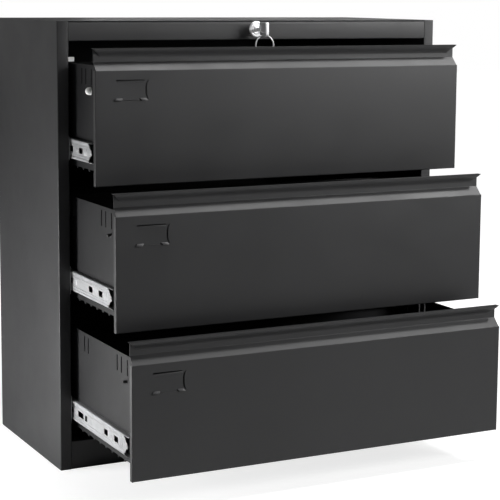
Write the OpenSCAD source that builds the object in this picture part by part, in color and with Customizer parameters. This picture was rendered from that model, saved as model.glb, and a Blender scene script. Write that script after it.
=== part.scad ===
// Lateral filing cabinet with three inset drawers, drawn in millimetres.
// Origin: centre of the footprint on the floor. +X right, +Y to the back, +Z up.

/* [Cabinet] */
// Outside width
body_w = 995; // [760:1:1070]
// Outside depth
body_d = 435; // [420:1:500]
// Outside height
body_h = 1030; // [1000:1:1060]
// Width of each front stile
stile_w = 27; // [20:1:40]
// Height of the rail above the drawers
top_rail_h = 45; // [44:1:60]
// Height of the rail under the drawers
kick_h = 66; // [50:1:80]
// Sheet thickness of the cabinet
skin = 1.2; // [1:0.1:1.5]

/* [Drawers] */
// Height of the flat part of a front
face_h = 251; // [240:1:255]
// Height of the pull above the flat part
pull_h = 48.3; // [40:0.1:50]
// Gap between a closed front and the next
front_gap = 3; // [2:0.5:4]
// Gap between a front and the stile
edge_gap = 2.4; // [2:0.1:4]
// Depth of the folded edge of a front
fold = 12; // [8:1:15]
// Sheet thickness of the drawer boxes
box_skin = 1; // [0.8:0.1:1.2]
// How far the upper drawer stands open
open_upper = 154; // [0:1:354]
// How far the middle drawer stands open
open_middle = 268; // [0:1:354]
// How far the lower drawer stands open
open_lower = 354; // [0:1:354]

/* [Pull] */
// How far back the sloping ledge runs
ledge_back = 17.8; // [12:0.1:20]
// Height of the sloping ledge
ledge_up = 18.5; // [12:0.5:25]
// Height at which the rolled lip starts
lip_low = 35; // [30:0.5:40]
// How far the lip's tip stands back from the face
tip_back = 7; // [4:0.5:10]

/* [Lock] */
// Radius of the round lock plate
plate_r = 19.5; // [12:0.5:20]
// Radius of the turning plug
plug_r = 7; // [5:0.5:8]
// Working radius of the cam and the crank
throw_r = 15; // [12:0.5:18]
// Middle radius of the key ring
ring_r = 23.5; // [10:0.5:26]

/* [Hidden] */
$fn = 48;
W2 = body_w / 2;
F = -body_d / 2;
B = body_d / 2;
roof = body_h - skin;
rail_z = body_h - top_rail_h;
panel_x = W2 - stile_w - edge_gap;
pitch = face_h + pull_h + front_gap;
first_top = kick_h + 3.7 + face_h + 2 * pitch;
tops = [first_top, first_top - pitch, first_top - 2 * pitch];
opens = [open_upper, open_middle, open_lower];
box_x = W2 - 40.7;
box_depth = 405;
slide_z = -180.5;
slide_half = 22.75;
run_half = 27.35;
run_in = W2 - 25.8;
slide_out = W2 - 30;
full_out = 354;
cage_len = 34;
lock_z = rail_z + 24.3;
stud_y = 54;
stud_z = -46;
stud_r = 8.5;
pin_stud_r = 4;
glide_z = 938.4;
bar_x = -W2 + 14;
crank_x = -W2 + 28;
crank_z = lock_z - 1;
swing = 45;
reach = throw_r * sin(swing);
pin_r = 2;
slot_r = 2.6;
ring_y = -43;
rivet_y = [50, 220, 380];

// A profile given as [y, z] points, carried along X from x0 to x1.
module along_x(points, x0, x1)
    translate([x0, 0, 0])
        rotate([90, 0, 90])
            linear_extrude(height = x1 - x0)
                polygon(points);

// A profile given as [x, z] points, carried along Y from y0 to y1.
module along_y(points, y0, y1)
    translate([0, y1, 0])
        rotate([90, 0, 0])
            linear_extrude(height = y1 - y0)
                polygon(points);

// A profile given as [x, y] points, carried along Z from z0 to z1.
module along_z(points, z0, z1)
    translate([0, 0, z0])
        linear_extrude(height = z1 - z0)
            polygon(points);

// A block between two opposite corners.
module block(low, high)
    translate(low)
        cube([high[0] - low[0], high[1] - low[1], high[2] - low[2]]);

// A round bar along Y.
module round_y(x, z, r, y0, y1)
    translate([x, y1, z])
        rotate([90, 0, 0])
            cylinder(r = r, h = y1 - y0);

// A round bar along X.
module round_x(y, z, r, x0, x1)
    translate([x0, y, z])
        rotate([0, 90, 0])
            cylinder(r = r, h = x1 - x0);

// The same piece on the other side of the cabinet.
module other_side()
    mirror([1, 0, 0])
        children();

// Puts a drawer's piece where that drawer stands: y from the face, z from the top of the face.
module in_drawer(i)
    translate([0, F - opens[i], tops[i]])
        children();

function corner(x, y, r, from, to) =
    [for (k = [0:4]) [x + r * cos(from + (to - from) * k / 4), y + r * sin(from + (to - from) * k / 4)]];

// Outer skin, front stile with its return, and rear flange in one bent sheet.
module side_skin() {
    along_z(concat(
        [[-W2 + stile_w, F + 25]],
        corner(-W2 + stile_w - 1.5, F + 1.5, 1.5, 0, -90),
        corner(-W2 + 2, F + 2, 2, -90, -180),
        [[-W2, B], [-W2 + 15, B], [-W2 + 15, B - skin], [-W2 + skin, B - skin],
         [-W2 + skin, F + skin], [-W2 + stile_w - skin, F + skin], [-W2 + stile_w - skin, F + 25]]),
        0, roof);
}

module left_side_panel() {
    color([0.12, 0.12, 0.13])
        side_skin();
}

module right_side_panel() {
    color([0.12, 0.12, 0.13])
        other_side()
            side_skin();
}

module back_panel() {
    color([0.12, 0.12, 0.13]) {
        block([-W2 + skin, B - 2 * skin, 0], [W2 - skin, B - skin, roof]);
    }
}

module top_panel() {
    color([0.12, 0.12, 0.13]) {
        along_z(concat(
            corner(-W2 + 2, F + 2, 2, 180, 270), corner(W2 - 2, F + 2, 2, 270, 360),
            [[W2, B], [-W2, B]]), roof, body_h);
        for (side = [0, 1])
            mirror([side, 0, 0])
                block([-W2 + skin, F + 60, roof - 22], [-W2 + 2 * skin, B - 20, roof]);
        block([-W2 + 30, B - 4 * skin, roof - 18], [W2 - 30, B - 3 * skin, roof]);
        block([-W2 + 30, B - 4 * skin, roof - 18], [W2 - 30, B - 2 * skin, roof - 16.8]);
    }
}

// Floor of the cabinet: a tray whose walls turn inwards at the bottom and rest on the ground.
module bottom_panel() {
    color([0.12, 0.12, 0.13])
        difference() {
            block([-W2 + 25.8, F + 25, 0], [W2 - 25.8, B - 2 * skin, 45]);
            block([-W2 + 25.8 + skin, F + 25 + skin, skin], [W2 - 25.8 - skin, B - 3 * skin, 45 - skin]);
            block([-W2 + 50, F + 50, -1], [W2 - 50, B - 27, 2]);
        }
}

module top_rail() {
    color([0.12, 0.12, 0.13]) {
        difference() {
            along_x([[F, rail_z], [F + 30, rail_z], [F + 30, rail_z + skin], [F + skin, rail_z + skin],
                [F + skin, roof - skin], [F + 22, roof - skin], [F + 22, roof], [F, roof]],
                -W2 + stile_w, W2 - stile_w);
            round_y(0, lock_z, 9.5, F - 1, F + 2);
        }
    }
}

module kick_rail() {
    color([0.12, 0.12, 0.13]) {
        along_x([[F, 0], [F + 25, 0], [F + 25, skin], [F + skin, skin], [F + skin, kick_h - skin],
            [F + 30, kick_h - skin], [F + 30, kick_h], [F, kick_h]],
            -W2 + stile_w, W2 - stile_w);
    }
}

// Flat plate behind the stile that carries the runners.
module inner_plate(slotted) {
    difference() {
        along_z([[-W2 + 24.6, F + 6], [-W2 + 25.8, F + 6], [-W2 + 25.8, B - 2 * skin],
            [-W2 + 10, B - 2 * skin], [-W2 + 10, B - 3 * skin], [-W2 + 24.6, B - 3 * skin]],
            4, rail_z - 1);
        for (i = [0:2]) {
            if (slotted)
                block([-W2 + 20, F + 34, tops[i] + stud_z - 13], [-W2 + 30, F + 43, tops[i] + stud_z + 25]);
            for (y = rivet_y)
                round_x(F + y, tops[i] + slide_z, 2, -W2 + 20, -W2 + 30);
        }
        if (slotted)
            block([-W2 + 20, F + 26.5, glide_z - 0.5], [-W2 + 30, F + 37.5, glide_z + 10.1]);
    }
}

module left_inner_panel() {
    color([0.12, 0.12, 0.13])
        inner_plate(true);
}

module right_inner_panel() {
    color([0.12, 0.12, 0.13])
        other_side()
            inner_plate(false);
}

// Fixed channel of a slide, drawn on the left.
module runner(i) {
    z = tops[i] + slide_z;
    difference() {
        along_y([[-run_in, z - run_half], [-run_in + 10, z - run_half], [-run_in + 10, z - run_half + 1.5],
            [-run_in + 1.5, z - run_half + 1.5], [-run_in + 1.5, z + run_half - 1.5],
            [-run_in + 10, z + run_half - 1.5], [-run_in + 10, z + run_half], [-run_in, z + run_half]],
            F + 25.3, F + 427);
        for (y = rivet_y)
            round_x(F + y, z, 2, -run_in - 1, -run_in + 3);
        for (y = [90, 150, 290, 340])
            block([-run_in - 1, F + y, z - 7], [-run_in + 3, F + y + 18, z + 7]);
    }
}

module left_runner(i) {
    color([0.72, 0.73, 0.74])
        runner(i);
}

module right_runner(i) {
    color([0.72, 0.73, 0.74])
        other_side()
            runner(i);
}

module runner_rivets() {
    color([0.6, 0.6, 0.62])
        for (side = [0, 1])
            mirror([side, 0, 0])
                for (i = [0:2])
                    for (y = rivet_y) {
                        round_x(F + y, tops[i] + slide_z, 2, -W2 + 24.6, -run_in + 1.5);
                        round_x(F + y, tops[i] + slide_z, 4, -W2 + 23.2, -W2 + 24.6);
                    }
}

module lock_housing() {
    color([0.75, 0.75, 0.76]) {
        difference() {
            union() {
                round_y(0, lock_z, plate_r - 1, F - 2.5, F - 1.5);
                round_y(0, lock_z, plate_r, F - 1.5, F);
                round_y(0, lock_z, 9.5, F - 1, F + 20);
            }
            round_y(0, lock_z, plug_r + 0.06, F - 4, F + 21);
        }
    }
}

module lock_nut() {
    color([0.6, 0.6, 0.62]) {
        difference() {
            translate([0, F + 7, lock_z])
                rotate([90, 0, 0])
                    cylinder(r = 15, h = 5.8, $fn = 6);
            round_y(0, lock_z, 9.5, F, F + 8);
        }
    }
}

// Nylon blocks that keep the lock bar upright inside the left stile. The highest one has an arm
// that reaches over the side of the upper drawer and holds it down.
module bar_guides() {
    color([0.88, 0.88, 0.86]) {
        for (z = [120, 420, 720, 940])
            difference() {
                block([-W2 + skin, F + 34, z], [-W2 + 24.6, F + 48, z + 12]);
                block([bar_x - 6.4, F + 38.6, z - 1], [bar_x + 6.4, F + 42.4, z + 13]);
            }
        block([-W2 + 20.6, F + 27, glide_z], [-W2 + 50.5, F + 37, glide_z + 9.6]);
    }
}

// Hanging bracket with the stud on which the corner crank turns.
module crank_bracket() {
    color([0.6, 0.6, 0.62]) {
        block([crank_x - 5, F + 45, crank_z - 6], [crank_x + 8, F + 46.5, roof]);
        block([crank_x - 5, F + 45, roof - 1.5], [crank_x + 8, F + 60, roof]);
        round_y(crank_x, crank_z, 3, F + 34.2, F + 45.5);
        round_y(crank_x, crank_z, 4.5, F + 33.2, F + 34.4);
    }
}

// Bent sheet of a drawer front: face with folded edges, ledge, wall and rolled lip.
module drawer_front(i) {
    wall_y = ledge_back + skin;
    lip_rx = ledge_back - tip_back;
    lip_ry = pull_h - lip_low;
    color([0.13, 0.13, 0.14])
        in_drawer(i) {
            difference() {
                along_z(concat(
                    [[-panel_x, fold]],
                    corner(-panel_x + 2, 2, 2, 180, 270),
                    corner(panel_x - 2, 2, 2, 270, 360),
                    [[panel_x, fold], [panel_x - skin, fold], [panel_x - skin, skin],
                     [-panel_x + skin, skin], [-panel_x + skin, fold]]),
                    -face_h, 0);
                block([-panel_x + 51, -1, -22], [-panel_x + 115, 2, -20.5]);
                block([-panel_x + 117.5, -1, -60], [-panel_x + 120.5, 2, -25]);
                block([-panel_x + 66, -1, -66.5], [-panel_x + 102, 2, -65]);
            }
            block([-panel_x + skin, 0.6, -face_h], [panel_x - skin, fold, -face_h + skin]);
            for (x = [49, 103])
                block([-panel_x + x, -3.6, -66.5], [-panel_x + x + 16, -2.6, -61.5]);
            for (x = [49, 103])
                block([-panel_x + x, -3.6, -66.5], [-panel_x + x + 16, 0.6, -65.5]);
            along_x([[0, -1], [0, 0], [ledge_back, ledge_up], [ledge_back, pull_h - 0.6],
                [wall_y, pull_h - 0.6], [wall_y, ledge_up - 0.5], [1.7, 0], [1.2, -1]],
                -panel_x + 2.5, panel_x - 2.5);
            intersection() {
                along_x(concat(
                    [for (a = [0:10:90]) [ledge_back - lip_rx * sin(a), pull_h - lip_ry * cos(a)]],
                    [[wall_y, pull_h], [wall_y, pull_h - skin]],
                    [for (a = [90:-10:0])
                        [ledge_back - (lip_rx - 1.4) * sin(a), pull_h - skin - (lip_ry - 2.5) * cos(a)]]),
                    -panel_x - 5, panel_x + 5);
                along_y([[-panel_x + 13, lip_low - 1], [-panel_x - 2, pull_h + 1],
                    [panel_x + 2, pull_h + 1], [panel_x - 13, lip_low - 1]], 0, 30);
            }
        }
}

// Drawer side, drawn on the left: plate with front and bottom flanges, slots and toothed edge.
module box_side(i, rear_slots) {
    in_drawer(i) {
        difference() {
            union() {
                along_x([[1.2, -224], [1.2, -0.6], [12, 10.5], [box_depth, 10.5], [box_depth, -224]],
                    -box_x, -box_x + box_skin);
                block([-box_x, 1.2, -210], [-box_x + 13, 2.2, -4]);
                block([-box_x, 14, -219.8], [-box_x + 13, box_depth - 14, -218.8]);
            }
            for (y = concat([49, 83, 107, 379], rear_slots))
                block([-box_x - 1, y - 2.4, -33], [-box_x + 2, y + 2.4, 2]);
            for (y = [34:36:360])
                block([-box_x - 1, y, -225], [-box_x + 2, y + 28, -219.8]);
        }
    }
}

module left_side(i) {
    color([0.13, 0.13, 0.14])
        box_side(i, [279, 303]);
}

module right_side(i) {
    color([0.13, 0.13, 0.14])
        other_side()
            box_side(i, [302, 326]);
}

module box_back(i) {
    color([0.13, 0.13, 0.14])
        in_drawer(i)
            along_z([[-box_x + 1, box_depth], [box_x - 1, box_depth], [box_x - 1, box_depth - 12],
                [box_x - 2, box_depth - 12], [box_x - 2, box_depth - 1], [-box_x + 2, box_depth - 1],
                [-box_x + 2, box_depth - 12], [-box_x + 1, box_depth - 12]], -217.8, 0);
}

module box_floor(i) {
    color([0.13, 0.13, 0.14])
        in_drawer(i)
            block([-box_x + 1, 2.2, -218.8], [box_x - 1, box_depth - 1, -217.8]);
}

// Two rails that hang the file folders, hooked into the slots of the drawer sides.
module file_bars(i) {
    color([0.7, 0.71, 0.72])
        in_drawer(i)
            for (y = [49, 379])
                difference() {
                    union() {
                        block([-box_x + 1, y - 1, -15], [box_x - 1, y + 1, 2]);
                        block([-box_x - 1.2, y - 1, -14], [box_x + 1.2, y + 1, -4]);
                    }
                    block([-box_x - 2, y - 2, -15.5], [-box_x, y + 2, -12]);
                    block([box_x, y - 2, -15.5], [box_x + 2, y + 2, -12]);
                }
}

// Moving channel of a slide, drawn on the left: web outside, flanges towards the drawer.
module slide(i) {
    in_drawer(i)
        difference() {
            along_y([[-slide_out, slide_z - slide_half], [-box_x, slide_z - slide_half],
                [-box_x, slide_z - slide_half + 1.2], [-slide_out + 1.2, slide_z - slide_half + 1.2],
                [-slide_out + 1.2, slide_z + slide_half - 1.2], [-box_x, slide_z + slide_half - 1.2],
                [-box_x, slide_z + slide_half], [-slide_out, slide_z + slide_half]], 19.5, 425);
            for (side = [0, 1])
                translate([0, 0, slide_z])
                    mirror([0, 0, side])
                        along_x([[18, 2.5], [26, 2.5], [30, 6], [45, 6], [45, slide_half - 1.2],
                            [18, slide_half - 1.2]], -slide_out - 1, -slide_out + 1.3);
            for (hole = [[81, 22], [140, 22], [264, 14], [288, 34], [352, 14]])
                block([-slide_out - 1, hole[0], slide_z - 7], [-slide_out + 2, hole[0] + hole[1], slide_z + 7]);
        }
}

module left_slide(i) {
    color([0.74, 0.75, 0.76])
        slide(i);
}

module right_slide(i) {
    color([0.74, 0.75, 0.76])
        other_side()
            slide(i);
}

// Stud on the left side of a drawer, caught by the lock bar. The upper one wears a domed nylon cap,
// the other two are plain black pins.
module catch_stud(i) {
    if (i == 0)
        color([0.9, 0.9, 0.88])
            in_drawer(i)
                translate([-box_x, stud_y, stud_z])
                    rotate([0, -90, 0])
                        rotate_extrude()
                            polygon([[0, 0], [stud_r, 0], [stud_r, 4], [stud_r - 0.7, 7], [stud_r - 2, 9.2],
                                [stud_r - 4, 11], [stud_r - 6, 11.9], [0, 12.1]]);
    else
        color([0.13, 0.13, 0.14])
            in_drawer(i)
                round_x(stud_y, stud_z, pin_stud_r, -box_x - 9, -box_x);
}

// Ball cage with its balls, both sides of one drawer. It travels half as far as the drawer.
module ball_cages(i) {
    z = tops[i] + slide_z;
    y = F + 31 + (full_out - opens[i]) / 2;
    h = slide_half + 2.2;
    color([0.5, 0.5, 0.52])
        for (side = [0, 1])
            mirror([side, 0, 0]) {
                difference() {
                    along_y([[-run_in + 2.2, z - h], [-run_in + 10, z - h], [-run_in + 10, z - h + 1.2],
                        [-run_in + 3.4, z - h + 1.2], [-run_in + 3.4, z + h - 1.2],
                        [-run_in + 10, z + h - 1.2], [-run_in + 10, z + h], [-run_in + 2.2, z + h]],
                        y, y + cage_len);
                    for (ball = [5:8:cage_len])
                        translate([-run_in + 7.5, y + ball, z - h - 1])
                            cylinder(r = 1.7, h = 2 * h + 2);
                }
                for (ball = [5:8:cage_len])
                    for (way = [-1, 1])
                        translate([-run_in + 7.5, y + ball, z + way * (slide_half + 1.55)])
                            sphere(r = 1.5, $fn = 16);
            }
}

module lock_plug() {
    color([0.7, 0.7, 0.72]) {
        difference() {
            round_y(0, lock_z, plug_r, F - 3.4, F + 21);
            block([-1.1, F - 4, lock_z - 4], [1.1, F + 17, lock_z + 4]);
        }
        block([-3.5, F + 21, lock_z - 3.5], [3.5, F + 26, lock_z + 3.5]);
    }
}

// Cam on the back of the plug. Its pin works in the upright slot of the rod.
module lock_cam() {
    color([0.6, 0.6, 0.62])
        translate([0, 0, lock_z])
            rotate([0, swing, 0])
                difference() {
                    union() {
                        round_y(0, 0, 9, F + 22, F + 24);
                        block([-5, F + 22, -throw_r], [5, F + 24, 0]);
                        round_y(0, -throw_r, 5, F + 22, F + 24);
                        round_y(0, -throw_r, pin_r, F + 23, F + 35);
                    }
                    rotate([0, -swing, 0])
                        block([-3.5, F + 21, -3.5], [3.5, F + 25, 3.5]);
                }
}

module lock_key() {
    color([0.78, 0.78, 0.79])
        difference() {
            union() {
                block([-1, F - 26, lock_z - 3.8], [1, F + 16, lock_z + 3.8]);
                along_x([[F - 23, lock_z - 9], [F - 28, lock_z - 14], [F - 36, lock_z - 14],
                    [F - 40, lock_z - 17.5], [F - 47, lock_z - 17.5], [F - 51, lock_z - 14],
                    [F - 56, lock_z - 9], [F - 56, lock_z + 13], [F - 51, lock_z + 18],
                    [F - 28, lock_z + 18], [F - 23, lock_z + 13]], -4.4, 4.4);
            }
            round_x(F + ring_y, lock_z - 12.2, 2.6, -5, 5);
        }
}

module key_ring() {
    color([0.75, 0.75, 0.76])
        translate([0, F + ring_y, lock_z - 12.7 - ring_r])
            rotate([90, 0, 0])
                rotate_extrude($fn = 64)
                    translate([ring_r, 0])
                        circle(r = 1.3, $fn = 16);
}

// Flat rod behind the top rail, from the cam to the corner crank.
module lock_rod() {
    rod_z = lock_z - throw_r + 2;
    color([0.6, 0.6, 0.62])
        difference() {
            block([crank_x - reach - 6, F + 30, rod_z - 7], [-reach + 6, F + 33, rod_z + 7]);
            for (x = [crank_x - reach, -reach])
                block([x - slot_r, F + 29, rod_z - 5], [x + slot_r, F + 34, rod_z + 5.5]);
        }
}

// Corner crank that turns the sideways stroke of the rod into the up and down stroke of the bar.
module lock_crank() {
    color([0.6, 0.6, 0.62])
        translate([crank_x, 0, crank_z])
            rotate([0, swing, 0])
                difference() {
                    union() {
                        round_y(0, 0, 6, F + 35, F + 37);
                        block([-4, F + 35, -throw_r], [4, F + 37, 0]);
                        block([-throw_r, F + 35, -4], [0, F + 37, 4]);
                        round_y(0, -throw_r, 4, F + 35, F + 37);
                        round_y(-throw_r, 0, 4, F + 35, F + 37);
                        round_y(0, -throw_r, pin_r, F + 29, F + 36);
                        round_y(-throw_r, 0, pin_r, F + 36, F + 43);
                    }
                    round_y(0, 0, 3.06, F + 34, F + 38);
                }
}

// Upright bar in the left stile with a hook in front of each catch stud.
module lock_bar() {
    top_z = crank_z + reach;
    color([0.6, 0.6, 0.62]) {
        difference() {
            block([bar_x - 6, F + 39, tops[2] + stud_z - 6], [bar_x + 6, F + 42, top_z + 7]);
            block([crank_x - throw_r - 3, F + 38, top_z - slot_r],
                [crank_x - reach + 3, F + 43, top_z + slot_r]);
        }
        for (i = [0:2])
            block([bar_x, F + 36, tops[i] + stud_z + 10.8], [-W2 + 35, F + 41, tops[i] + stud_z + 22.8]);
    }
}

left_side_panel();
right_side_panel();
back_panel();
top_panel();
bottom_panel();
top_rail();
kick_rail();
left_inner_panel();
right_inner_panel();
left_runner(0);  // upper_left_runner
right_runner(0);  // upper_right_runner
left_runner(1);  // middle_left_runner
right_runner(1);  // middle_right_runner
left_runner(2);  // lower_left_runner
right_runner(2);  // lower_right_runner
runner_rivets();
lock_housing();
lock_nut();
bar_guides();
crank_bracket();
drawer_front(0);  // upper_front
left_side(0);  // upper_left_side
right_side(0);  // upper_right_side
box_back(0);  // upper_back
box_floor(0);  // upper_floor
file_bars(0);  // upper_file_bars
left_slide(0);  // upper_left_slide
right_slide(0);  // upper_right_slide
catch_stud(0);  // upper_catch_stud
drawer_front(1);  // middle_front
left_side(1);  // middle_left_side
right_side(1);  // middle_right_side
box_back(1);  // middle_back
box_floor(1);  // middle_floor
file_bars(1);  // middle_file_bars
left_slide(1);  // middle_left_slide
right_slide(1);  // middle_right_slide
catch_stud(1);  // middle_catch_stud
drawer_front(2);  // lower_front
left_side(2);  // lower_left_side
right_side(2);  // lower_right_side
box_back(2);  // lower_back
box_floor(2);  // lower_floor
file_bars(2);  // lower_file_bars
left_slide(2);  // lower_left_slide
right_slide(2);  // lower_right_slide
catch_stud(2);  // lower_catch_stud
ball_cages(0);  // upper_ball_cages
ball_cages(1);  // middle_ball_cages
ball_cages(2);  // lower_ball_cages
lock_plug();
lock_cam();
lock_key();
key_ring();
lock_rod();
lock_crank();
lock_bar();
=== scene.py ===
"""Looks of a three-drawer lateral filing cabinet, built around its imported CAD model.

Shapes are drawn in millimetres and turned into metres as they become meshes. Each new piece rides on
the CAD body that it belongs to, and most of them stand for one CAD node.
"""
import math

import bmesh
import bpy
from mathutils import Matrix, Vector


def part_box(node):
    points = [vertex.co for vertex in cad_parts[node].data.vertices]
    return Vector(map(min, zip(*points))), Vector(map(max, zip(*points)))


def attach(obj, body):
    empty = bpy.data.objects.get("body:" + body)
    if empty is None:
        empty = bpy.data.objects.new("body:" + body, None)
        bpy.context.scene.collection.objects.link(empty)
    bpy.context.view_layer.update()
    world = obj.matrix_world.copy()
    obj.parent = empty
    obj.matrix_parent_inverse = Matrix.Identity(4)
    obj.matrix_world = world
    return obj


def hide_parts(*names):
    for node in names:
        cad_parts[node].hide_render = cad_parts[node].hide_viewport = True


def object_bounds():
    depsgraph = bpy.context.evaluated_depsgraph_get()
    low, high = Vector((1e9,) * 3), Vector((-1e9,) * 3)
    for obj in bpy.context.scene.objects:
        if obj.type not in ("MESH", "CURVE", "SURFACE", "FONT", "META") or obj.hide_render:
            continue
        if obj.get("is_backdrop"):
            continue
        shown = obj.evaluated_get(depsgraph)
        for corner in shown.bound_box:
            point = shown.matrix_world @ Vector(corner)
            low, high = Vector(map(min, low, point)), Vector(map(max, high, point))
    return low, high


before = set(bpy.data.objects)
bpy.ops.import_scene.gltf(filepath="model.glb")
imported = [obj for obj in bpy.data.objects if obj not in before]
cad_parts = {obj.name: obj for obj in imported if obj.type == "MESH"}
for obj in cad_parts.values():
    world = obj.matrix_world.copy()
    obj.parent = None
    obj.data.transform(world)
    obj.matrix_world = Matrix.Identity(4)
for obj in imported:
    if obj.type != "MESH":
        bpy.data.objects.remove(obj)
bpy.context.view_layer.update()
MM = 0.001


def box_mm(node):
    """A CAD node's lowest and highest corner, in millimetres."""
    return (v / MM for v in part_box(node))


side_low, side_high = box_mm("left_side_panel")
HALF_W, FRONT, BACK, ROOF = -side_low.x, side_low.y, side_high.y, side_high.z
STILE = side_high.x - side_low.x                    # width of the upright edges beside the drawers
RAIL_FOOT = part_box("top_rail")[0].z / MM
KICK_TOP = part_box("kick_rail")[1].z / MM
SHEET = 1.2                                         # thickness of the steel sheet
LEVELS = ("upper", "middle", "lower")


# ---------------------------------------------------------------- lines and shapes
def left_of(d):
    """The direction a quarter turn to the left of d."""
    return Vector((-d.y, d.x))


def rounded_line(path, radii, steps):
    """Points along a 2D line whose inner corners are rounded by radii: (point, left normal, stretch).

    A corner of radius 0 is mitred, and stretch keeps the sheet's thickness there.
    """
    pts = [Vector(p) for p in path]
    out = []
    for i, p in enumerate(pts):
        before = p - pts[i - 1] if i else pts[1] - p
        after = pts[i + 1] - p if i < len(pts) - 1 else before
        d, e = before.normalized(), after.normalized()
        if i in (0, len(pts) - 1):
            out.append((p, left_of(d), 1.0))
            continue
        if not radii[i - 1]:
            n = (left_of(d) + left_of(e)).normalized()
            out.append((p, n, 1 / max(n.dot(left_of(d)), 0.3)))
            continue
        turn = math.atan2(d.x * e.y - d.y * e.x, d.dot(e))
        r = radii[i - 1]
        start = p - d * (r * math.tan(abs(turn) / 2))
        side = 1 if turn > 0 else -1
        centre = start + left_of(d) * r * side
        for k in range(steps + 1):
            a = turn * k / steps
            n = left_of(Vector((d.x * math.cos(a) - d.y * math.sin(a),
                                d.x * math.sin(a) + d.y * math.cos(a))))
            out.append((centre - n * r * side, n, 1.0))
    return out


def inset(path, d):
    """An open 2D line moved sideways by d, to its left."""
    pts = [Vector(p) for p in path]
    out = []
    for i, p in enumerate(pts):
        after = (pts[i + 1] - p) if i < len(pts) - 1 else (p - pts[i - 1])
        before = (p - pts[i - 1]) if i else after
        na, nb = left_of(after).normalized(), left_of(before).normalized()
        n = (na + nb).normalized()
        q = p + n * d / n.dot(na)
        out.append((q.x, q.y))
    return out


def rounded(corners, radii, steps=6):
    """A closed outline whose corners are rounded by a radius each, as [(u, v)]."""
    out = []
    n = len(corners)
    for i, r in enumerate(radii):
        a, b, c = (Vector(corners[(i + k) % n]) for k in (-1, 0, 1))
        p, q = b + (a - b).normalized() * r, b + (c - b).normalized() * r
        for k in range(steps + 1):
            f = k / steps
            out.append(tuple(p * (1 - f) ** 2 + b * 2 * f * (1 - f) + q * f ** 2))
    return out


def circle(steps):
    """The angles of a circle's points."""
    return [2 * math.pi * k / steps for k in range(steps)]


# Where the flat (u, v) of a section and the w along it lie in x, y, z
def to_yz(u, v, w): return (w, u, v)
def to_xy(u, v, w): return (u, v, w)
def to_xz(u, v, w): return (u, w, v)


def turned_at(x, z):
    """Places a lathe's (a, b, height) round an axis that runs from front to back."""
    return lambda a, b, h: (x + a, h, z + b)


class Shape:
    """Collects points in millimetres and faces, and makes one object of them."""

    def __init__(self):
        self.verts, self.faces = [], []

    def strip(self, rings, closed=False):
        """Joins rings of points of equal length. An open strip gets end faces."""
        n, base = len(rings[0]), len(self.verts)
        for ring in rings:
            self.verts += [tuple(p) for p in ring]
        for i in range(len(rings) - (0 if closed else 1)):
            here, there = base + i * n, base + (i + 1) % len(rings) * n
            for k in range(n):
                m = (k + 1) % n
                self.faces.append([here + k, here + m, there + m, there + k])
        if not closed:
            self.faces.append([base + k for k in reversed(range(n))])
            self.faces.append([base + (len(rings) - 1) * n + k for k in range(n)])

    def sheet(self, path, radii, t, place, low, high, steps=6):
        """A bent sheet of thickness t whose middle line is path, carried from low to high.

        low and high are numbers, or functions of the point. place turns (u, v, w) into x, y, z.
        """
        rings = []
        for p, n, stretch in rounded_line(path, radii, steps):
            a, b = p + n * t / 2 * stretch, p - n * t / 2 * stretch
            corners = ((a, low), (b, low), (b, high), (a, high))
            ends = [(q, end(q) if callable(end) else end) for q, end in corners]
            rings.append([place(q.x, q.y, w) for q, w in ends])
        self.strip(rings)

    def box(self, low, high):
        (x0, y0, z0), (x1, y1, z1) = low, high
        self.strip([[(x0, y0, z), (x1, y0, z), (x1, y1, z), (x0, y1, z)] for z in (z0, z1)])

    def prism(self, points, place, low, high):
        self.strip([[place(u, v, w) for u, v in points] for w in (low, high)])

    def lathe(self, profile, place, steps=64, loop=False):
        """profile is [(radius, height)], turned round the height axis. place takes (a, b, height)."""
        self.strip([[place(r * math.cos(a), r * math.sin(a), h) for a in circle(steps)] for r, h in profile],
                   closed=loop)

    def mirror_x(self):
        self.verts = [(-x, y, z) for x, y, z in self.verts]

    def object(self, name):
        """A linked object in metres, with its faces turned outwards."""
        me = bpy.data.meshes.new(name)
        me.from_pydata([(x * MM, y * MM, z * MM) for x, y, z in self.verts], [], self.faces)
        bm = bmesh.new()
        bm.from_mesh(me)
        bmesh.ops.recalc_face_normals(bm, faces=bm.faces)
        bm.to_mesh(me)
        bm.free()
        ob = bpy.data.objects.new(name, me)
        bpy.context.scene.collection.objects.link(ob)
        return ob

    def make(self, name, material, body, slot, replaces=(), angle=32, bevel=0.0, cuts=None, segments=2):
        """The finished piece: cut by another Shape, bevelled, and sharp where it turns past angle."""
        ob = self.object(name)
        ob.data.materials.append(material)
        if cuts:
            carve(ob, cuts)
        if bevel:
            mod = ob.modifiers.new("edge", "BEVEL")
            mod.width, mod.segments = bevel * MM, segments
            mod.limit_method, mod.angle_limit = "ANGLE", math.radians(40)
            bake(ob)
        for p in ob.data.polygons:
            p.use_smooth = True
        ob.data.set_sharp_from_angle(angle=math.radians(angle))
        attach(ob, body)
        if replaces:
            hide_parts(*replaces)
        return ob


def bake(ob):
    """Applies the object's modifiers."""
    dg = bpy.context.evaluated_depsgraph_get()
    me = bpy.data.meshes.new_from_object(ob.evaluated_get(dg))
    old = ob.data
    ob.modifiers.clear()
    ob.data = me
    bpy.data.meshes.remove(old)


def carve(ob, cutter):
    """Cuts another Shape out of the object."""
    tool = cutter.object("cutter")
    me = tool.data
    mod = ob.modifiers.new("cut", "BOOLEAN")
    mod.operation, mod.solver, mod.object = "DIFFERENCE", "EXACT", tool
    mod.use_self = True
    bake(ob)
    bpy.data.objects.remove(tool)
    bpy.data.meshes.remove(me)


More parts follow.
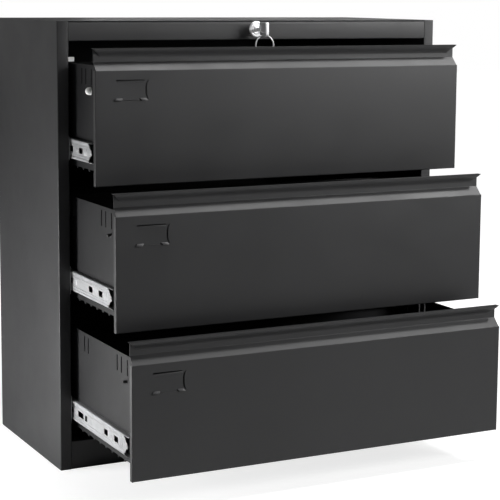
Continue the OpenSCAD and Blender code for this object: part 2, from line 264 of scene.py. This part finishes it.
# ---------------------------------------------------------------- materials
def new_material(name):
    m = bpy.data.materials.new(name)
    m.use_nodes = True
    t = m.node_tree
    t.nodes.clear()
    out = t.nodes.new("ShaderNodeOutputMaterial")
    s = t.nodes.new("ShaderNodeBsdfPrincipled")
    t.links.new(s.outputs[0], out.inputs[0])
    return m, t, s


def coords(t, scale=(1, 1, 1)):
    c = t.nodes.new("ShaderNodeTexCoord")
    m = t.nodes.new("ShaderNodeMapping")
    m.inputs["Scale"].default_value = scale
    t.links.new(c.outputs["Object"], m.inputs[0])
    return m.outputs[0]


def noise(t, vec, scale, detail=2.0):
    n = t.nodes.new("ShaderNodeTexNoise")
    n.inputs["Scale"].default_value = scale
    n.inputs["Detail"].default_value = detail
    n.inputs["Roughness"].default_value = 0.5
    t.links.new(vec, n.inputs["Vector"])
    return n.outputs["Fac"]


def ramp(t, fac, low, high, a=0.3, b=0.7):
    """low where fac is a, high where it is b."""
    r = t.nodes.new("ShaderNodeMapRange")
    r.inputs["From Min"].default_value, r.inputs["From Max"].default_value = a, b
    r.inputs["To Min"].default_value, r.inputs["To Max"].default_value = low, high
    t.links.new(fac, r.inputs["Value"])
    return r.outputs["Result"]


def tint(t, fac, dark, light):
    m = t.nodes.new("ShaderNodeMix")
    m.data_type = "RGBA"
    m.inputs["A"].default_value = (*dark, 1)
    m.inputs["B"].default_value = (*light, 1)
    t.links.new(fac, m.inputs["Factor"])
    return m.outputs["Result"]


def bump(t, height, strength, distance, under=None):
    b = t.nodes.new("ShaderNodeBump")
    b.inputs["Strength"].default_value = strength
    b.inputs["Distance"].default_value = distance
    t.links.new(height, b.inputs["Height"])
    if under:
        t.links.new(under, b.inputs["Normal"])
    return b.outputs["Normal"]


def mottled(t, s, fac, base, darker, lighter=1.0):
    """Base colour that wanders between two shades of base."""
    dark, light = (tuple(c * k for c in base) for k in (darker, lighter))
    t.links.new(tint(t, ramp(t, fac, 0.0, 1.0), dark, light), s.inputs["Base Color"])


def powder_coat(name, base, rough, spec=0.5):
    """Fine-textured powder coat: orange peel, sparse specks, soft cloudiness."""
    m, t, s = new_material(name)
    v = coords(t)
    mottled(t, s, noise(t, v, 4.0, 3.0), base, 0.90, 1.10)
    t.links.new(ramp(t, noise(t, v, 9.0, 4.0), rough - 0.04, rough + 0.05), s.inputs["Roughness"])
    s.inputs["Specular IOR Level"].default_value = spec
    peel = bump(t, noise(t, v, 420.0), 0.10, 0.0004)
    t.links.new(bump(t, noise(t, v, 1500.0, 1.0), 0.12, 0.00015, peel), s.inputs["Normal"])
    return m


def zinc(name, base, rough, grain, metallic):
    """Zinc plate with rolling marks along the part and a faint cloudy passivation."""
    m, t, s = new_material(name)
    marks = noise(t, coords(t, grain), 1.0, 3.0)
    mottled(t, s, noise(t, coords(t), 35.0, 3.0), base, 0.86)
    s.inputs["Metallic"].default_value = metallic
    t.links.new(ramp(t, marks, rough - 0.07, rough + 0.10), s.inputs["Roughness"])
    t.links.new(bump(t, marks, 0.10, 0.0002), s.inputs["Normal"])
    return m


def nickel(name, base, rough, marks, metallic):
    """Satin plate with small scuffs and fine lines across the part."""
    m, t, s = new_material(name)
    v = coords(t)
    mottled(t, s, noise(t, v, 300.0, 3.0), base, 0.9)
    s.inputs["Metallic"].default_value = metallic
    t.links.new(ramp(t, noise(t, v, 900.0), rough - 0.03, rough + 0.08), s.inputs["Roughness"])
    t.links.new(bump(t, noise(t, coords(t, (60, 900, 900)), 1.0), marks, 0.0002), s.inputs["Normal"])
    return m


def nylon(name):
    m, t, s = new_material(name)
    v = coords(t)
    t.links.new(tint(t, ramp(t, noise(t, v, 120.0), 0.0, 1.0), (0.86, 0.86, 0.84), (0.93, 0.93, 0.92)),
                s.inputs["Base Color"])
    t.links.new(ramp(t, noise(t, v, 400.0), 0.34, 0.48), s.inputs["Roughness"])
    s.inputs["Subsurface Weight"].default_value = 0.25
    s.inputs["Subsurface Radius"].default_value = (0.004, 0.004, 0.004)
    t.links.new(bump(t, noise(t, v, 700.0), 0.08, 0.0002), s.inputs["Normal"])
    return m


SHELL = powder_coat("black_powder_coat", (0.020, 0.020, 0.021), 0.44)
INNER = powder_coat("black_box_paint", (0.008, 0.008, 0.009), 0.50, 0.3)
ZINC = zinc("bright_zinc", (0.50, 0.505, 0.515), rough=0.40, grain=(260, 7, 260), metallic=0.45)
STEEL = zinc("dull_zinc", (0.60, 0.61, 0.63), rough=0.42, grain=(180, 10, 180), metallic=0.7)
NICKEL = nickel("satin_nickel", (0.92, 0.92, 0.93), rough=0.34, marks=0.06, metallic=0.55)
WIRE = nickel("bright_wire", (0.95, 0.95, 0.95), rough=0.30, marks=0.03, metallic=0.35)
NYLON = nylon("white_nylon")

# The CAD nodes that stay visible. The pieces below stand for the others.
for name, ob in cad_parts.items():
    if name.endswith("_panel"):
        mat = SHELL
    elif name.endswith(("_side", "_back", "_floor", "_bars")):
        mat = INNER
    elif name == "bar_guides":
        mat = NYLON
    else:
        mat = STEEL
    ob.data.materials.clear()
    ob.data.materials.append(mat)

# ---------------------------------------------------------------- cabinet shell
STILE_FOLD, BACK_FOLD = 25, 15                      # depth of the folds behind the stile and at the back
RAIL_GAP = 1.3                                      # the top panel's sheet over the rail

for side in ("left", "right"):
    s = Shape()
    s.sheet(inset([(-HALF_W + STILE, FRONT + STILE_FOLD), (-HALF_W + STILE, FRONT), (-HALF_W, FRONT),
                   (-HALF_W, BACK), (-HALF_W + BACK_FOLD, BACK)], -SHEET / 2),
            [1.3, 1.6, 1.6], SHEET, to_xy, 0, ROOF)
    if side == "right":
        s.mirror_x()
    s.make(side + "_shell", SHELL, "cabinet", "cabinet_black", [side + "_side_panel"])

lock_low, lock_high = box_mm("lock_housing")
LOCK_X, LOCK_Z = (lock_low.x + lock_high.x) / 2, (lock_low.z + lock_high.z) / 2


def rail(name, foot, top, lower_fold, upper_fold, radii, replaces, cuts=None):
    """A cross rail: a channel that is open to the back, between the two stiles."""
    y = FRONT + SHEET / 2
    s = Shape()
    s.sheet([(FRONT + lower_fold, foot + SHEET / 2), (y, foot + SHEET / 2), (y, top - SHEET / 2),
             (FRONT + upper_fold, top - SHEET / 2)], radii, SHEET, to_yz, -HALF_W + STILE, HALF_W - STILE)
    s.make(name, SHELL, "cabinet", "cabinet_black", replaces, cuts=cuts)


cut = Shape()
cut.lathe([(9.5, FRONT - 5), (9.5, FRONT + 8)], turned_at(LOCK_X, LOCK_Z), 48)
rail("top_rail_skin", RAIL_FOOT, ROOF - RAIL_GAP, 30, 22, [1.3, 2.2], ["top_rail"], cut)
rail("kick_rail_skin", 0, KICK_TOP, 25, 30, [1.3, 1.3], ["kick_rail"])

# ---------------------------------------------------------------- drawer fronts
# Section of a front, as distances behind the face and heights over the face's upper edge
FACE_IN = 3.6                                       # room for the label tabs in front of the face
WALL, LEDGE_TOP, WALL_TOP = 17.8, 18.5, 47.8        # a ledge slopes back to the upright wall
LIP_FOOT, LIP_RISE, LIP_LEAN = 28, 20.3, 10.8       # where the lip leaves the wall and leans forwards
LIP_TOP, LIP_TIP = 48.3, 7.0
LIP_STEPS = 10
LIP_PAST = 2                                        # the lip's tips stand this far past the folds
SIDE_GAP = 2.5                                      # the face stops this far inside the folds
FOLD_DEPTH = 12
# Label holder, to the right of the front's left edge and downwards from the face's upper edge
LABEL_TOP, LABEL_MIDDLE, LABEL_FOOT = -22.4, -41.5, -63.5
LABEL_RIGHT, LABEL_HALF = 117, 20.5                 # the upright slot and half its height
SLOT_BOW, SLOT_WIDE, SLOT_THIN = 6.5, 3.6, 1.4
TAB_WIDE, TAB_LEAN, TAB_TURN = 15, 4.0, -63         # a tab leans sideways below TAB_TURN


def label_slots(place, x0):
    """A bowed upright slot on the right and a thin one over the top bead."""
    marks = [k / 8 for k in range(-8, 9)]
    arc = [(x0 + LABEL_RIGHT + SLOT_BOW * abs(f) ** 3, LABEL_MIDDLE - LABEL_HALF * f) for f in marks]
    back = [(x + SLOT_WIDE - SLOT_THIN * f ** 2, z) for f, (x, z) in zip(reversed(marks), reversed(arc))]
    over = [(48, LABEL_TOP), (48, -20.0), (52, -19.2), (112, -19.8), (116.5, -20.8), (116.5, LABEL_TOP)]
    cut = Shape()
    for outline in (arc + back, [(x0 + x, z) for x, z in over]):
        cut.prism(outline, place, low=-1, high=4)
    return cut


def label_holder(x0, y0, zt):
    """Bead along the top, faint bead at the bottom, and two lanced tabs that lean outwards."""
    bead = [(0.0, 0.3), (-0.1, -1.3), (-0.5, -1.6), (-1.2, -1.3), (-3.2, -0.1), (-3.2, 0.3)]
    tab = ((0.2, -59.6), (-0.7, -60.0), (-3.4, -63.4), (-3.6, -65.6), (-2.8, -66.2), (0.2, -62.6))
    s = Shape()
    for a, b, z, tall in ((50, 116, LABEL_TOP, 1.0), (68, 101, LABEL_FOOT, 0.55)):
        s.strip([[(x0 + x, y0 + v * tall * ease, zt + z + u * tall) for u, v in bead]
                 for x, ease in ((a, 0.2), (a + 2.5, 1), (b - 2.5, 1), (b, 0.2))])
    for xa, lean in ((49, -TAB_LEAN), (103, TAB_LEAN)):
        s.strip([[(x0 + x + lean * (z < TAB_TURN), y0 + y, zt + z) for y, z in tab]
                 for x in (xa, xa + TAB_WIDE)])
    return s


def drawer_front(level):
    low, high = box_mm(level + "_front")
    half = high.x - LIP_PAST
    y0, zt = low.y + FACE_IN, high.z - LIP_TOP
    foot = low.z - zt
    body = level + "_drawer"

    def section(u, v, w): return (w, y0 + u, zt + v)

    outer = [(FOLD_DEPTH, foot), (0, foot), (0, 0), (WALL, LEDGE_TOP), (WALL, WALL_TOP)]
    s = Shape()
    s.sheet(inset(outer, -SHEET / 2), [1.4, 2.0, 1.6], SHEET, section,
            -half + SIDE_GAP, half - SIDE_GAP, steps=8)
    s.make(level + "_face", SHELL, body, "cabinet_black", [level + "_front"],
           cuts=label_slots(lambda u, v, w: (u, y0 + w, zt + v), -half))

    s = Shape()
    for k in (-1, 1):
        edge = k * (half - SHEET / 2)
        s.sheet([(k * (half - SIDE_GAP), SHEET / 2), (edge, SHEET / 2), (edge, FOLD_DEPTH)],
                [0.9], SHEET, lambda u, v, w: (u, y0 + v, w), zt + foot, zt, steps=8)
    s.make(level + "_folds", SHELL, body, "cabinet_black")

    # rolled lip: a shallow double curve from the wall to a sharp tip, then back along the top
    arc = [(WALL - LIP_LEAN * f * f * (3 - 2 * f), LIP_FOOT + LIP_RISE * f)
           for f in [k / LIP_STEPS for k in range(LIP_STEPS + 1)]]
    arc = inset(arc + [(LIP_TIP, LIP_TOP - 0.001)], -SHEET / 2)[:-1]
    path = arc[:-1] + [(LIP_TIP + SHEET / 2, LIP_TOP - SHEET / 2), (WALL + 1.6, LIP_TOP - SHEET / 2)]

    # half the lip's width at a point: its ends are cut at a slant, from inside the folds to past them
    def reach(q): return min(half - 13 + 15 * (q.y - 35) / 13.3, half + LIP_PAST)

    s = Shape()
    s.sheet(path, [0] * (len(path) - 2), SHEET, section, lambda q: -reach(q), reach)
    s.make(level + "_lip", SHELL, body, "cabinet_black", angle=38)
    label_holder(-half, y0, zt).make(level + "_label_holder", SHELL, body, "cabinet_black",
                                     angle=50, bevel=0.12)


for level in LEVELS:
    drawer_front(level)

# ---------------------------------------------------------------- slides
# Distances along a slide are counted from a point in front of its end, and heights from its middle line
SLIDE_START, SLIDE_END = 19.5, 425
HOLES = ((81, 22), (140, 22), (264, 14), (288, 34), (352, 14))      # start and length
HOLE_HALF, HOLE_CORNER = 6.6, 1.2
RIBS = ((56, 7.5), (66, 7.5), (116, 4), (240, 6), (326, 5))         # place and half height
LINE_Z = 11.2                                                       # the rolled lines
# Outline of the notches beside the front tongue, from the edge to the tongue
NOSE = ((44, 20.8), (43, 17.6), (40.5, 13.2), (37, 9.0), (33.5, 6.6), (30, 6), (27, 3.4), (25.8, 1.2))
NOSE_FROM = 17
WEB_SUNK, WEB_HALF, BEAD_HALF = 1.1, 16.2, 17.6                     # the web lies behind the edge beads
RUNNER_SHEET = 1.5


def slide_channel(level, side):
    """Drawer member of a slide: beaded edges, sunk web, rounded front end with a tongue."""
    low, high = box_mm(level + "_left_slide")
    yf = low.y - SLIDE_START
    out, inner = low.x, high.x
    zs, half = (low.z + high.z) / 2, (high.z - low.z) / 2
    xo, zo = out + SHEET / 2, half - SHEET / 2
    web = xo + WEB_SUNK
    s = Shape()
    s.sheet([(inner, zs - zo), (xo, zs - zo), (xo, zs - BEAD_HALF), (web, zs - WEB_HALF),
             (web, zs + WEB_HALF), (xo, zs + BEAD_HALF), (xo, zs + zo), (inner, zs + zo)],
            [2.4, 0.8, 0.8, 0.8, 0.8, 2.4], SHEET, to_xz, yf + SLIDE_START, yf + SLIDE_END, steps=5)

    cut = Shape()
    for k in (1, -1):
        pts = [(NOSE_FROM, NOSE[0][1] * k)] + [(y, z * k) for y, z in NOSE] + [(NOSE_FROM, NOSE[-1][1] * k)]
        cut.prism([(yf + y, zs + z) for y, z in pts], to_yz, out - 2, out + 3.4)
    y, z = NOSE[-1]
    cut.prism([(yf + NOSE_FROM, zs - z), (yf + y, zs - z), (yf + y, zs + z), (yf + NOSE_FROM, zs + z)],
              to_yz, out - 2, out + 3.4)
    c, h = HOLE_CORNER, HOLE_HALF
    for y, w in HOLES:
        outline = ((c, -h), (w - c, -h), (w, c - h), (w, h - c), (w - c, h), (c, h), (0, h - c), (0, c - h))
        cut.prism([(yf + y + a, zs + b) for a, b in outline], to_yz, out - 2, out + 5)

    # pressed ribs, a dimple on the tongue and rolled lines along the web
    d = Shape()
    xw = web - SHEET / 2
    for y, tall in RIBS:
        d.strip([[(xw + 0.3, yf + y - 1.5 * k, zs + z), (xw - 0.9 * k, yf + y - 0.5 * k, zs + z),
                  (xw - 0.9 * k, yf + y + 0.5 * k, zs + z), (xw + 0.3, yf + y + 1.5 * k, zs + z)]
                 for z, k in ((-tall - 1.5, 0.2), (-tall, 1), (tall, 1), (tall + 1.5, 0.2))])
    for z in (-LINE_Z, LINE_Z):
        d.strip([[(xw + 0.3, y, zs + z - 0.9), (xw - 0.75, y, zs + z - 0.35),
                  (xw - 0.75, y, zs + z + 0.35), (xw + 0.3, y, zs + z + 0.9)] for y in (yf + 50, yf + 415)])
    dimple = [(0.05, -1.7), (1.4, -1.5), (2.5, -0.7), (2.8, 0.2), (2.8, 0.8), (0.05, 0.8)]
    d.lathe([(r, xw + x) for r, x in dimple], lambda a, b, h: (h, yf + 30.5 + a, zs + b), 24)

    if side == "right":
        for shape in (s, cut, d):
            shape.mirror_x()
    name, body = level + "_" + side, level + "_drawer"
    s.make(name + "_channel", ZINC, body, "zinc_steel", [name + "_slide"], cuts=cut)
    d.make(name + "_ribs", ZINC, body, "zinc_steel", angle=50)


def runner_channel(level, side):
    """Cabinet member: rolled channel whose front end lies against the stile, with a bright upright edge."""
    low, high = box_mm(level + "_left_runner")
    zs, half = (low.z + high.z) / 2, (high.z - low.z) / 2
    t = RUNNER_SHEET
    x0, x1, zo, lip = low.x + t / 2, high.x, half - t / 2, 3
    s = Shape()
    s.sheet([(x1, zs - zo + lip), (x1, zs - zo), (x0, zs - zo), (x0, zs + zo), (x1, zs + zo),
             (x1, zs + zo - lip)], [0.9, 2.4, 2.4, 0.9], t, to_xz, low.y, high.y, steps=5)
    # upright front edge behind the stile's inner edge, with cut corners
    xa, xb = -HALF_W + STILE + 0.1, -HALF_W + STILE + 1.3
    near, far, corner = FRONT + 0.9, FRONT + 26, 2.5
    s.strip([[(xa, y, z), (xb, y, z), (xb, far, z + 0.01), (xa, far, z + 0.01)] for y, z in
             ((FRONT + 3, zs - half), (near, zs - half + corner), (near, zs + half - corner),
              (FRONT + 3, zs + half))])
    if level != "upper":
        # the runner's front hooks, through the plate behind the stile
        for z0, z1 in ((half + 1.5, half + 5.5), (-half - 3.5, -half - 0.5)):
            s.box((xa, FRONT + 1.0, zs + z0), (xb, FRONT + 9, zs + z1))
    if side == "right":
        s.mirror_x()
    s.make(level + "_" + side + "_track", ZINC, "cabinet", "zinc_steel", [level + "_" + side + "_runner"])


for level in LEVELS:
    for side in ("left", "right"):
        slide_channel(level, side)
        runner_channel(level, side)

# ---------------------------------------------------------------- catch studs
# A stud stands out to the left of its drawer: a foot, a shank and a dome that starts at dome_from
for level in LEVELS:
    low, high = box_mm(level + "_catch_stud")
    middle, out = (low + high) / 2, high.x - low.x
    if level == "upper":
        r, degrees, steps = (high.z - low.z) / 2, range(0, 87, 6), 48
        foot, dome_from = [(r + 0.6, 0.0), (r + 0.6, 1.0), (r, 1.6)], 4.2
    else:
        r, degrees, steps = 3.4, range(0, 85, 12), 32
        foot, dome_from = [(5.0, 0.0), (5.0, 0.5), (r, 1.2)], out - 2.6
    dome = [(r * math.cos(a), dome_from + (out - dome_from) * math.sin(a)) for a in map(math.radians, degrees)]
    s = Shape()
    s.lathe([(0.05, 0.0)] + foot + dome + [(0.05, out)],
            lambda a, b, h: (high.x - h, middle.y + a, middle.z + b), steps)
    if level == "upper":
        s.make("upper_nylon_stud", NYLON, "upper_drawer", "white_nylon", ["upper_catch_stud"])
    else:
        s.make(level + "_pin", SHELL, level + "_drawer", "drawer_black", [level + "_catch_stud"])

# ---------------------------------------------------------------- lock, key and ring
at_lock = turned_at(LOCK_X, LOCK_Z)
PLATE_R = (lock_high.z - lock_low.z) / 2 - 0.5
# Section of the plate: the rim in relation to its radius, then the collar round the plug
PLATE_RIM = ((0, 0.02), (0, -0.9), (-0.4, -1.4), (-1.9, -2.4), (-4.2, -2.5), (-4.8, -2.2), (-5.1, -1.5),
             (-6.4, -1.5), (-6.8, -2.3), (-7.4, -2.8))
PLATE_COLLAR = ((8.6, -3.0), (7.7, -2.7), (7.1, -1.6), (7.1, 20))
s = Shape()
s.lathe([(9.4, FRONT + 20), (9.4, FRONT + 1.3)] + [(PLATE_R + r, FRONT + y) for r, y in PLATE_RIM]
        + [(r, FRONT + y) for r, y in PLATE_COLLAR], at_lock, 72, loop=True)
s.make("lock_plate", NICKEL, "cabinet", "lock_nickel", ["lock_housing"], angle=22)

PLUG = ((0.05, 26), (3.4, 26), (3.4, 21), (7.0, 21), (7.0, -2.6), (6.6, -3.2), (5.6, -3.4), (0.05, -3.5))
s = Shape()
s.lathe([(r, FRONT + y) for r, y in PLUG], at_lock, 48)
keyway = Shape()
keyway.box((LOCK_X - 1.1, FRONT - 5, LOCK_Z - 4), (LOCK_X + 1.1, FRONT + 17, LOCK_Z + 4))
s.make("lock_core", NICKEL, "lock_cylinder", "lock_nickel", ["lock_plug"], cuts=keyway)

key_low, key_high = box_mm("lock_key")
ky, kz0, kz1 = key_low.y, key_low.z, key_high.z
KEY_HALF, RECESS_FROM = 4.2, 2.1                    # half thickness of the head, and of its sunk middle
RING_HOLE_OUT, RING_HOLE_DOWN = 43, 12.2
head = [(ky + 33, kz0 + 9), (ky + 33, kz1 - 1), (ky, kz1 - 1), (ky, kz0 + 3), (ky + 8, kz0), (ky + 19, kz0)]
recess = [(ky + 28.5, kz0 + 12.5), (ky + 28.5, kz1 - 5.5), (ky + 4.5, kz1 - 5.5), (ky + 4.5, kz0 + 10.5)]
s = Shape()
s.prism(rounded(head, [3, 5, 4, 4, 3, 4]), to_yz, LOCK_X - KEY_HALF, LOCK_X + KEY_HALF)
cut = Shape()
for a, b in ((-6, -RECESS_FROM), (RECESS_FROM, 6)):
    cut.prism(rounded(recess, [2.5] * 4), to_yz, LOCK_X + a, LOCK_X + b)
cut.lathe([(2.6, LOCK_X - 7), (2.6, LOCK_X + 7)],
          lambda a, b, h: (h, FRONT - RING_HOLE_OUT + a, LOCK_Z - RING_HOLE_DOWN + b), 32)
s.make("key_head", NICKEL, "lock_cylinder", "lock_nickel", ["lock_key"], cuts=cut, bevel=0.7, segments=3)

BLADE = ((-24, -5), (-19, -5), (-19, -3.8), (12, -3.8), (16, 0), (12, 3.8), (-19, 3.8), (-19, 5), (-24, 5))
s = Shape()
s.prism([(FRONT + y, LOCK_Z + z) for y, z in BLADE], to_yz, LOCK_X - 1, LOCK_X + 1)
s.make("key_blade", NICKEL, "lock_cylinder", "lock_nickel", bevel=0.15)

low, high = box_mm("key_ring")
cx, cy, cz = (low + high) / 2
RING_R = (high.x - low.x) / 2 - 1.6
TURNS, POINTS, PITCH_Y = 1.96, 150, 2.3             # nearly two turns of wire, side by side
WIRE_R, WIRE_Y = 1.5, 1.1
rings = []
for k in range(POINTS + 1):
    a = 2 * math.pi * TURNS * k / POINTS + math.radians(250)
    y = cy - PITCH_Y / 2 + PITCH_Y * k / POINTS
    ease = 0.35 + 0.65 * min(k, POINTS - k, 5) / 5  # the wire's ends are flattened
    rings.append([(cx + (RING_R + WIRE_R * math.cos(b)) * math.cos(a), y + WIRE_Y * ease * math.sin(b),
                   cz + (RING_R + WIRE_R * math.cos(b)) * math.sin(a)) for b in circle(12)])
s = Shape()
s.strip(rings)
s.make("split_ring", WIRE, "ring", "bright_wire", ["key_ring"], angle=60)

# ---------------------------------------------------------------- floor, light, camera
scene = bpy.context.scene


def floor_plane(name, z, size, white, glow, far_glow):
    """A pale plane. It glows by glow near the cabinet and by far_glow further off."""
    me = bpy.data.meshes.new(name)
    h = size / 2
    me.from_pydata([(-h, -h, z), (h, -h, z), (h, h, z), (-h, h, z)], [], [(0, 1, 2, 3)])
    ob = bpy.data.objects.new(name, me)
    scene.collection.objects.link(ob)
    m, t, s = new_material(name)
    t.links.new(tint(t, noise(t, coords(t), 1.2), (white * 0.97,) * 3, (white,) * 3), s.inputs["Base Color"])
    s.inputs["Roughness"].default_value = 0.9
    s.inputs["Specular IOR Level"].default_value = 0.1
    s.inputs["Emission Color"].default_value = (1, 1, 1, 1)
    s.inputs["Emission Strength"].default_value = glow
    if far_glow:
        distance = t.nodes.new("ShaderNodeVectorMath")
        distance.operation = "LENGTH"
        t.links.new(coords(t), distance.inputs[0])
        t.links.new(ramp(t, distance.outputs["Value"], glow, far_glow, a=0.6, b=2.2),
                    s.inputs["Emission Strength"])
    me.materials.append(m)
    ob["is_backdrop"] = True
    return ob


# The camera sees a pale, nearly shadowless floor. The light on the cabinet bounces off a plain one.
seen = floor_plane("floor", -0.0004, 30, white=0.46, glow=0.78, far_glow=1.02)
seen.visible_diffuse = seen.visible_glossy = seen.visible_shadow = False
bounce = floor_plane("floor_bounce", -0.0008, 14, white=0.80, glow=0.0, far_glow=0.0)
bounce.visible_camera = False

# The world is white for the camera and nearly dark for everything else
WORLD_LIGHT, WORLD_SEEN = 0.02, 1.0
scene.view_settings.view_transform = "Standard"
scene.world = bpy.data.worlds.new("studio")
scene.world.use_nodes = True
wt = scene.world.node_tree
wt.nodes.clear()
out, mixer, rays = (wt.nodes.new("ShaderNode" + k) for k in ("OutputWorld", "MixShader", "LightPath"))
for k, strength in ((1, WORLD_LIGHT), (2, WORLD_SEEN)):
    bg = wt.nodes.new("ShaderNodeBackground")
    bg.inputs["Color"].default_value = (1, 1, 1, 1)
    bg.inputs["Strength"].default_value = strength
    wt.links.new(bg.outputs[0], mixer.inputs[k])
wt.links.new(rays.outputs["Is Camera Ray"], mixer.inputs[0])
wt.links.new(mixer.outputs[0], out.inputs[0])


def area(name, where, to, size, power, spread=180):
    """An area light at where, aimed at to, hidden from the camera. Metres, watts and degrees."""
    light = bpy.data.lights.new(name, "AREA")
    light.shape = "RECTANGLE"
    light.size, light.size_y = size
    light.energy = power
    light.spread = math.radians(spread)
    ob = bpy.data.objects.new(name, light)
    ob.location = where
    ob.rotation_euler = (Vector(to) - Vector(where)).to_track_quat("-Z", "Y").to_euler()
    ob.visible_camera = False
    scene.collection.objects.link(ob)


area("front_right", (2.4, -2.6, 1.85), (0, -0.4, 0.6), (1.8, 1.8), 23)
area("front_upper", (2.2, -2.7, 1.9), (0.05, -0.4, 0.85), (1.1, 1.1), 12, 75)
area("key", (2.5, -0.72, 3.1), (0, -0.45, 0.7), (0.25, 0.25), 46)
area("overhead", (0.6, -0.6, 3.2), (0.0, -0.45, 0.7), (0.45, 2.0), 41)
area("left", (-2.4, 1.6, 0.9), (-0.5, 0.6, 0.6), (3.2, 1.4), 5.2)
area("left_low", (-1.15, 0.0, 0.05), (-0.5, 0.0, 0.16), (0.22, 0.9), 18)
area("lock_fill", (-1.5, -1.7, 1.2), (0, -0.25, 0.99), (0.35, 0.35), 0.16, 30)
area("behind", (-0.3, 4.5, 1.4), (-0.3, 0, 1.2), (4.0, 1.2), 5.7)
area("behind_right", (2.2, 4.2, 1.3), (0, 0, 1.03), (1.8, 0.5), 12)

# The camera stands to the left of the front's left edge. Angles in degrees, lens and sensor in millimetres.
EYE = Vector((-1.1855 - HALF_W * MM, -3.2901 + FRONT * MM, 1.0931))
YAW, PITCH, ROLL = (math.radians(v) for v in (26.899, 7.564, 0.383))
forward = Vector((math.sin(YAW) * math.cos(PITCH), math.cos(YAW) * math.cos(PITCH), -math.sin(PITCH)))
level_right = Vector((math.cos(YAW), -math.sin(YAW), 0))
level_up = level_right.cross(forward)
right = level_right * math.cos(ROLL) + level_up * math.sin(ROLL)
up = -level_right * math.sin(ROLL) + level_up * math.cos(ROLL)
cam = bpy.data.cameras.new("camera")
cam.sensor_width, cam.lens = 36, 112.00896
cam.shift_y = -0.1
cam.clip_end = 50
camera = bpy.data.objects.new("camera", cam)
camera.matrix_world = Matrix.Translation(EYE) @ Matrix((right, up, -forward)).transposed().to_4x4()
scene.collection.objects.link(camera)
scene.camera = camera

low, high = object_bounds()
